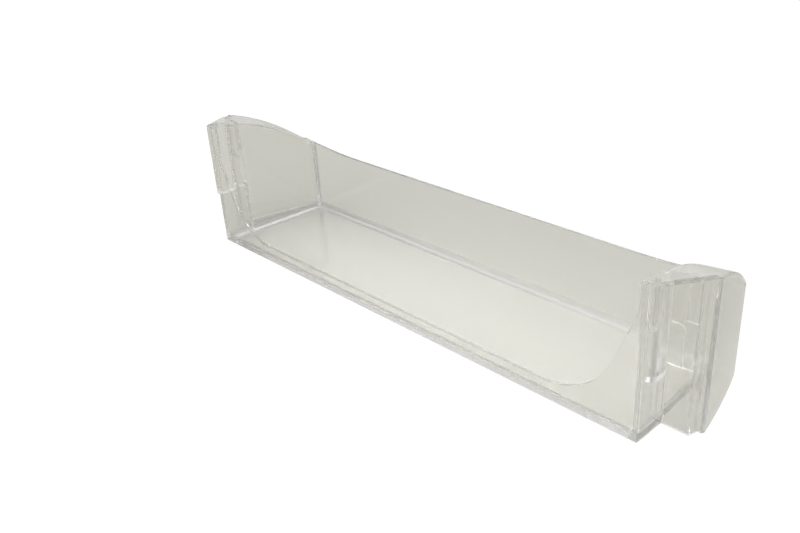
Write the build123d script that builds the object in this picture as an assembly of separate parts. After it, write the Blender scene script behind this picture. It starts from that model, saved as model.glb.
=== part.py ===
from math import cos, hypot, radians, sin, sqrt, tan
import os

from build123d import *

# Clear moulded shelf that hangs inside a refrigerator door.
# Millimetres. X runs along the door's width, the door side is -Y, Z is up.
# The origin is the middle of the footprint, on the underside.

# Overall sizes
rear_width = 440.0
depth = 106.0
end_height = 109.3
wall = 2.5

# Tray
end_lean = 6.5
floor_round = 5.5
front_corner_round = 5.5
rear_corner_round = 1.5

# Front wall, level along the middle and swept up to both ends
front_height = 64.5
front_sweep_run = 62.0

# Crown of the ends, an arc from the rear edge down to the front wall that rises outwards
crown_radius = 160.0
crown_tilt = 6.3
crown_foot_round = 4.0
crown_foot_land = 2.0

# Cut-out of the door side
lip_height = 14.5
rim_run = 71.0
rim_radius = 54.0
rim_slope = 68.0
rim_top_round = 25.0
rim_margin = 0.5

# End housings
housing_width = 25.0
front_flare = 6.5
housing_bow = 530.0
housing_front_round = 7.0
socket_depth = 27.0
step_depth = 7.0
step_lean = 1.5
flange_width = 4.5
shoulder_round = 1.0
roof_overhang = 0.5

# Post at each rear corner
post_hole = 5.5
post_hole_depth = 30.0
post_wall = 2.5
post_overhang = 2.5
post_run = 7.0
post_bottom = 46.0
post_blend = 6.0

# Seats for the door's lug
seat_bottom = 46.5
seat_top = 75.0
seat_width = 11.0
seat_reach = 3.2
ledge_margin = 1.0
ledge_rise = 3.0
ledge_reach = 1.6
rib_inset = 2.0
rib_reach = 0.8

# Rounded edges
edge_round = 1.7
rim_round = 0.7
rim_land = 0.1
corner_margin = 0.5
foot_round = 1.2
sharp_angle = 25.0

rear_y = -depth / 2
front_y = depth / 2
rear_half = rear_width / 2
front_half = rear_half + front_flare
end_half = rear_half + housing_width
lip_half = rear_half - rim_run
strip_x = rear_half - wall - rear_corner_round - rim_margin
shoulder_y = rear_y + socket_depth
step_y = shoulder_y + step_depth
shoulder_x = end_half - flange_width - step_lean
post_radius = post_hole / 2 + post_wall
post_x = rear_half + post_overhang
post_y = rear_y + post_radius
crown_round = min(edge_round, wall - rim_round - rim_land)
housing_rear_round = min(crown_round + corner_margin, flange_width / 2)
sweep_end = rear_half - end_lean - wall - front_corner_round
tilt = radians(crown_tilt)
front_end_height = front_height + front_sweep_run * tan(tilt / 2)
foot_y = front_y - wall - crown_foot_land
above = 2 * end_height
below = -end_height
beyond = 2 * end_half

# Crown's heights at the rear corner, square to its tilt
crown_top = end_height * cos(tilt)
crown_foot = (front_end_height + (rear_half - sweep_end) * tan(tilt)) * cos(tilt)

# Centre of the crown's arc, below the middle of its chord
chord_y = foot_y - rear_y
chord_z = crown_top - crown_foot
chord = hypot(chord_y, chord_z)
crown_sink = sqrt(crown_radius**2 - chord**2 / 4)
crown_y = (rear_y + foot_y) / 2 - crown_sink * chord_z / chord
crown_z = (crown_top + crown_foot) / 2 - crown_sink * chord_y / chord


def both_ends(shape):
    return shape + mirror(shape, Plane.YZ)


def polygon(*corners):
    return make_face(Polyline(*corners, close=True))


def rounded(face, corner, radius):
    return fillet(face.vertices().sort_by_distance((*corner, 0))[0], radius)


def outline():
    # Footprint of the whole shelf, with the roof that stands over each socket.
    post_side = (post_x + post_radius, post_y)
    roof_corner = (shoulder_x + roof_overhang, shoulder_y - roof_overhang)
    roof_bend = (roof_corner[0] + step_lean, roof_corner[1] + step_depth)
    housing_rear = (end_half, roof_bend[1])
    housing_front = (front_half, front_y)
    edge = Line((0, rear_y), (post_x, rear_y))
    edge += JernArc((post_x, rear_y), (1, 0), post_radius, 90)
    edge += Polyline(post_side, roof_corner, roof_bend, housing_rear)
    edge += RadiusArc(housing_rear, housing_front, -housing_bow)
    edge += Line(housing_front, (0, front_y))
    edge += Line((0, front_y), (0, rear_y))
    half = make_face(edge)
    half = rounded(half, post_side, post_blend)
    half = rounded(half, roof_corner, post_blend)
    half = rounded(half, roof_bend, shoulder_round)
    half = rounded(half, housing_rear, housing_rear_round)
    half = rounded(half, housing_front, housing_front_round)
    return both_ends(half)


def tray_plan():
    lean_half = rear_half - end_lean
    return polygon(
        (-rear_half, rear_y),
        (rear_half, rear_y),
        (lean_half, front_y),
        (-lean_half, front_y),
    )


def socket_plan():
    # Open corner behind the shoulder, with the small step at its outer end.
    bends = (
        (rear_half, shoulder_y),
        (shoulder_x, shoulder_y),
        (shoulder_x + step_lean, step_y),
    )
    plan = polygon(
        (rear_half, rear_y - depth),
        *bends,
        (beyond, step_y),
        (beyond, rear_y - depth),
    )
    for bend in bends:
        plan = rounded(plan, bend, shoulder_round)
    return plan


def pocket_plan():
    # Hollow between the tray's end wall and the housing's outer wall.
    housing = outline() - both_ends(socket_plan())
    return offset(housing, -wall, kind=Kind.INTERSECTION) - tray_plan()


def tilted(profile):
    # Right half of a form that runs along the shelf and rises outwards.
    start = Plane((0, 0, -rear_half * tan(tilt)), x_dir=(0, 1, 0), z_dir=(cos(tilt), 0, sin(tilt)))
    return extrude(start * profile, amount=beyond)


def under_crown(plan, radius):
    # Column over the right half of a plan, up to the crown's arc.
    column = extrude(Pos(0, 0, below) * plan, amount=above - below)
    return column & tilted(Pos(crown_y, crown_z) * Circle(radius))


def front_wall():
    # Level along the middle, then an arc that ends in line with the crown's tilt.
    level = Line((0, front_height), (sweep_end - front_sweep_run, front_height))
    bend = JernArc(level @ 1, (1, 0), front_sweep_run / sin(tilt), crown_tilt)
    foot = Polyline(bend @ 1, (sweep_end, 0), (0, 0), level @ 0)
    half = make_face(level + bend + foot)
    return extrude(Plane.XZ.offset(-front_y - wall) * both_ends(half), amount=3 * wall)


def loaf():
    # Solid block with the shelf's outer form.
    profile = Pos(crown_y, crown_z) * Circle(crown_radius)
    profile &= polygon((rear_y - wall, below), (foot_y, below), (foot_y, above), (rear_y - wall, above))
    foot = (foot_y, crown_foot)
    profile += polygon((foot_y, below), (front_y + wall, below), (front_y + wall, crown_foot), foot)
    profile = rounded(profile, foot, crown_foot_round)
    block = both_ends(tilted(profile)) + front_wall()
    block &= extrude(outline(), amount=above)
    return fillet(block.edges().group_by(Axis.Z)[0], foot_round)


def cavity():
    # Room inside the tray, with rounded corners and a rounded foot.
    plan = offset(tray_plan(), -wall, kind=Kind.INTERSECTION)
    plan = fillet(plan.vertices().sort_by(Axis.Y)[:2], rear_corner_round)
    plan = fillet(plan.vertices().sort_by(Axis.Y)[-2:], front_corner_round)
    room = extrude(Pos(0, 0, wall) * plan, amount=above)
    return fillet(room.edges().group_by(Axis.Z)[0], floor_round)


def door_side_cut():
    # Wide opening above the low lip, with round lower corners.
    level = Line((0, lip_height), (lip_half, lip_height))
    bend = JernArc(level @ 1, (1, 0), rim_radius, rim_slope)
    strip_z = (bend @ 1).Y + (strip_x - (bend @ 1).X) * tan(radians(rim_slope))
    slope = Line(bend @ 1, (strip_x, strip_z))
    side = Polyline(slope @ 1, (strip_x, above), (0, above), level @ 0)
    half = rounded(make_face(level + bend + slope + side), slope @ 1, rim_top_round)
    return extrude(Plane.XZ.offset(-rear_y - wall) * both_ends(half), amount=wall + depth)


def sharp_edges(body):
    # Edges above the lip's foot where two faces meet at a real corner.
    owners = {}
    for face in body.faces():
        for edge in face.edges():
            owners.setdefault(edge, []).append(face)
    sharp = []
    for edge, faces in owners.items():
        if edge.center().Z > lip_height / 2 and len(faces) == 2:
            first, second = (face.normal_at(edge @ 0.5) for face in faces)
            if first.get_angle(second) > sharp_angle:
                sharp.append(edge)
    return sharp


def outline_edges(body):
    # Sharp edges that follow the footprint's own outline, without the door side's rim.
    core = offset(outline(), -wall / 2, kind=Kind.INTERSECTION).face()
    chosen = []
    for edge in sharp_edges(body):
        middle = edge @ 0.5
        on_rim = middle.Y < 0 and abs(middle.X) < strip_x + rim_margin
        if not on_rim and not core.is_inside((middle.X, middle.Y, 0)):
            chosen.append(edge)
    return chosen


def post():
    plan = SlotCenterToCenter(post_run, 2 * post_radius, rotation=90)
    return Pos(post_x, post_y + post_run / 2, post_bottom) * extrude(plan, amount=above - post_bottom)


def block(x0, x1, y0, y1, z0, z1):
    return Pos(x0, y0, z0) * Box(x1 - x0, y1 - y0, z1 - z0, align=Align.MIN)


def seats():
    # Stepped seat on the shoulder that rests on the door's lug, with a rib above it.
    seat_x = rear_half + seat_width
    inside = rear_half - wall / 2
    back = shoulder_y + wall / 2
    seat = block(inside, seat_x, shoulder_y - seat_reach, back, seat_bottom, seat_top)
    ledge_x = shoulder_x - ledge_margin
    ledge_top = seat_top + ledge_rise
    ledge = block(seat_x - wall, ledge_x, shoulder_y - ledge_reach, back, seat_bottom, ledge_top)
    rib = block(rear_half + rib_inset, seat_x, shoulder_y - rib_reach, back, seat_bottom, above)
    return seat + ledge + rib


def socket():
    # Room for the door's lug under the roof, round the post and the seats.
    room = under_crown(socket_plan(), crown_radius - wall)
    return room - post() - seats()


def post_bore():
    return Pos(post_x, post_y, end_height - post_hole_depth) * extrude(Circle(post_hole / 2), amount=above)


tray = loaf() - cavity() - door_side_cut()
tray = fillet(outline_edges(tray), crown_round)
tray = fillet(sharp_edges(tray), rim_round)
pockets = both_ends(under_crown(pocket_plan(), crown_radius - wall))
door_shelf = tray - pockets - both_ends(socket()) - both_ends(post_bore())

os.makedirs("parts", exist_ok=True)
export_step(door_shelf, "parts/door_shelf.step")
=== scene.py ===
from math import pi

import bpy
from mathutils import Matrix, Vector

# Clear moulded shelf of a refrigerator door, on a white floor in soft studio light.
# Metres, in the part's own frame: X along the door, the door side is -Y, Z up.

# Camera
camera_place = (0.4425, -0.4270, 0.3428)
camera_heading = 0.8474
camera_pitch = -0.4752
camera_roll = -0.0694
camera_lens = 39.6
camera_sensor = 36.0

# Softboxes: direction from the shelf, size and power
softboxes = {
    "right": ((0.61, 0.51, 0.61), 1.00, 11.0),
    "left": ((-0.67, -0.25, 0.70), 1.00, 4.5),
    "back": ((-0.362, 0.773, 0.521), 0.42, 1.4),
}
softbox_distance = 6.0
shelf_middle = (0.0, 0.0, 0.050)

# Soft pool of light, long and narrow, over the tray
pool_aim = (0.065, -0.008, 0.0)
pool_direction = (0.0, -0.32, 0.95)
pool_distance = 1.0
pool_angle = 0.75
pool_blend = 1.0
pool_narrow = 0.34
pool_radius = 0.05
pool_power = 10.2

# Studio around the shelf
studio_light = 0.785
floor_half = 6.0
floor_drop = 0.0003
floor_colour = (0.72, 0.716, 0.655, 1.0)
floor_glow = 1.10
glow_seen = 0.85
glow_mirrored = 0.10
white = (1.0, 1.0, 1.0, 1.0)

# Clear plastic
plastic_ior = 1.58
plastic_clear = 1.0
plastic_pale = (0.977, 0.975, 0.964, 1.0)
plastic_deep = (0.963, 0.961, 0.946, 1.0)
shadow_pass = (0.98, 0.98, 0.98, 1.0)
light_bounces = 160

# Flow marks in its tint, haze in its polish and the broad wave of its skin
flow_scale = 14.0
flow_detail = 2.0
haze_scale = 40.0
haze_detail = 1.0
polish_sharp = 0.08
polish_soft = 0.14
wave_scale = 6.0
wave_detail = 0.0
wave_strength = 0.05
wave_height = 0.0006

# Rounded edges that are less polished: heights and depths of each, their slopes and their roughness
dull_edges = {
    "foot": ((0.0024, 0.0081), (-0.0540, 0.0540)),
    "lip": ((0.0136, 0.0147), (-0.0540, -0.0500)),
    "front": ((0.0636, 0.0647), (0.0500, 0.0540)),
}
dull_slopes = (0.02, 0.999)
dull_roughness = 0.40

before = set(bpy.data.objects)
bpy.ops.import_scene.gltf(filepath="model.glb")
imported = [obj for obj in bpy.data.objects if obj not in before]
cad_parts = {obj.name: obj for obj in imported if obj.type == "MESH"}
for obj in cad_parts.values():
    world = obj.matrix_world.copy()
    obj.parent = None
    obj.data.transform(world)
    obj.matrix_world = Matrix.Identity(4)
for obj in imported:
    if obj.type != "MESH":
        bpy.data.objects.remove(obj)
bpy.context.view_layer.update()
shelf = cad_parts["door_shelf"]


def add_camera():
    data = bpy.data.cameras.new("camera")
    data.lens = camera_lens
    data.sensor_width = camera_sensor
    camera = bpy.data.objects.new("camera", data)
    turn = Matrix.Rotation(camera_heading, 4, "Z")
    turn @= Matrix.Rotation(pi / 2 + camera_pitch, 4, "X")
    turn @= Matrix.Rotation(camera_roll, 4, "Z")
    camera.matrix_world = Matrix.Translation(camera_place) @ turn
    bpy.context.scene.collection.objects.link(camera)
    bpy.context.scene.camera = camera


def place_lamp(data, aim, direction, distance):
    # Lamp that stands off from its aim in a direction and looks back at it.
    away = Vector(direction).normalized()
    lamp = bpy.data.objects.new(data.name, data)
    lamp.location = Vector(aim) + away * distance
    lamp.rotation_euler = (-away).to_track_quat("-Z", "Y").to_euler()
    bpy.context.scene.collection.objects.link(lamp)
    return lamp


def add_softbox(name, direction, size, power):
    data = bpy.data.lights.new(name, "AREA")
    data.size = size
    data.energy = power
    place_lamp(data, shelf_middle, direction, softbox_distance)


def add_pool():
    data = bpy.data.lights.new("pool", "SPOT")
    data.energy = pool_power
    data.spot_size = pool_angle
    data.spot_blend = pool_blend
    data.shadow_soft_size = pool_radius
    lamp = place_lamp(data, pool_aim, pool_direction, pool_distance)
    lamp.scale.y = pool_narrow


def new_tree(owner):
    owner.use_nodes = True
    owner.node_tree.nodes.clear()
    return owner.node_tree


def feed(tree, socket, value):
    # Joins another node's output to a socket, or sets a plain value on it.
    if isinstance(value, bpy.types.NodeSocket):
        tree.links.new(value, socket)
    else:
        socket.default_value = value


def node(tree, kind, **inputs):
    made = tree.nodes.new(kind)
    for name, value in inputs.items():
        feed(tree, made.inputs[name.replace("_", " ")], value)
    return made


def math_node(tree, operation, *values):
    made = tree.nodes.new("ShaderNodeMath")
    made.operation = operation
    for socket, value in zip(made.inputs, values):
        feed(tree, socket, value)
    return made.outputs[0]


def mix_shaders(tree, share, first, second):
    mix = tree.nodes.new("ShaderNodeMixShader")
    for socket, value in zip(mix.inputs, (share, first, second)):
        feed(tree, socket, value)
    return mix.outputs[0]


def floor_material():
    # Pale floor that shows white, and keeps some of the shelf's shadow.
    material = bpy.data.materials.new("floor")
    tree = new_tree(material)
    rays = tree.nodes.new("ShaderNodeLightPath").outputs
    mirrored = math_node(tree, "MAXIMUM", rays["Is Glossy Ray"], rays["Is Transmission Ray"])
    mirrored = math_node(tree, "MULTIPLY", mirrored, glow_mirrored)
    direct = math_node(tree, "MULTIPLY", rays["Is Camera Ray"], glow_seen)
    seen = math_node(tree, "MAXIMUM", direct, mirrored)
    lit = node(tree, "ShaderNodeBsdfDiffuse", Color=floor_colour)
    glow = node(tree, "ShaderNodeEmission", Color=white, Strength=floor_glow)
    surface = mix_shaders(tree, seen, lit.outputs[0], glow.outputs[0])
    node(tree, "ShaderNodeOutputMaterial", Surface=surface)
    return material


def add_floor():
    mesh = bpy.data.meshes.new("floor")
    signs = [(-1, -1), (1, -1), (1, 1), (-1, 1)]
    corners = [(x * floor_half, y * floor_half, -floor_drop) for x, y in signs]
    mesh.from_pydata(corners, [], [(0, 1, 2, 3)])
    floor = bpy.data.objects.new("floor", mesh)
    mesh.materials.append(floor_material())
    bpy.context.scene.collection.objects.link(floor)


def set_world():
    # Even soft light from all sides, white where the camera looks at it.
    world = bpy.data.worlds.new("studio")
    bpy.context.scene.world = world
    tree = new_tree(world)
    rays = tree.nodes.new("ShaderNodeLightPath").outputs
    strength = math_node(tree, "MAXIMUM", rays["Is Camera Ray"], studio_light)
    back = node(tree, "ShaderNodeBackground", Color=white, Strength=strength)
    node(tree, "ShaderNodeOutputWorld", Surface=back.outputs[0])


def between(tree, value, limits):
    # One where the value lies within the limits, and nought elsewhere.
    above = math_node(tree, "GREATER_THAN", value, limits[0])
    below = math_node(tree, "LESS_THAN", value, limits[1])
    return math_node(tree, "MULTIPLY", above, below)


def rounded_edges(tree, place):
    # One on the rounded edges, which are neither level nor upright, and nought elsewhere.
    split = node(tree, "ShaderNodeSeparateXYZ", Vector=place)
    facing = tree.nodes.new("ShaderNodeNewGeometry").outputs["Normal"]
    slope = node(tree, "ShaderNodeSeparateXYZ", Vector=facing).outputs["Z"]
    slope = math_node(tree, "ABSOLUTE", slope)
    bands = 0.0
    for heights, depths in dull_edges.values():
        band = between(tree, split.outputs["Z"], heights)
        band = math_node(tree, "MULTIPLY", band, between(tree, split.outputs["Y"], depths))
        bands = math_node(tree, "MAXIMUM", band, bands)
    return math_node(tree, "MULTIPLY", bands, between(tree, slope, dull_slopes))


def noise(tree, place, scale, detail):
    return node(tree, "ShaderNodeTexNoise", Vector=place, Scale=scale, Detail=detail).outputs[0]


def polish(tree, place):
    # Roughness of the skin: hazy in patches, and dull on the rounded edges.
    haze = noise(tree, place, haze_scale, haze_detail)
    gloss = node(tree, "ShaderNodeMapRange", Value=haze, To_Min=polish_sharp, To_Max=polish_soft)
    dull = math_node(tree, "MULTIPLY", rounded_edges(tree, place), dull_roughness)
    return math_node(tree, "MAXIMUM", gloss.outputs[0], dull)


def clear_plastic(material):
    # Glossy clear polystyrene with a faint olive tint that varies with the flow, and a wavy skin.
    tree = new_tree(material)
    place = tree.nodes.new("ShaderNodeTexCoord").outputs["Object"]
    wave = noise(tree, place, wave_scale, wave_detail)
    bump = node(tree, "ShaderNodeBump", Strength=wave_strength, Distance=wave_height, Height=wave)
    flow = noise(tree, place, flow_scale, flow_detail)
    tint = node(tree, "ShaderNodeValToRGB", Fac=flow)
    tint.color_ramp.elements[0].color = plastic_deep
    tint.color_ramp.elements[1].color = plastic_pale
    skin = node(
        tree,
        "ShaderNodeBsdfPrincipled",
        Base_Color=tint.outputs[0],
        Roughness=polish(tree, place),
        IOR=plastic_ior,
        Transmission_Weight=plastic_clear,
        Normal=bump.outputs[0],
    )
    rays = tree.nodes.new("ShaderNodeLightPath").outputs
    through = node(tree, "ShaderNodeBsdfTransparent", Color=shadow_pass)
    surface = mix_shaders(tree, rays["Is Shadow Ray"], skin.outputs[0], through.outputs[0])
    node(tree, "ShaderNodeOutputMaterial", Surface=surface)


add_camera()
for name, (direction, size, power) in softboxes.items():
    add_softbox(name, direction, size, power)
add_pool()
set_world()
add_floor()
clear_plastic(shelf.data.materials[0])

bpy.context.scene.view_settings.view_transform = "Standard"
cycles = bpy.context.scene.cycles
cycles.max_bounces = light_bounces
cycles.glossy_bounces = light_bounces
cycles.transmission_bounces = light_bounces
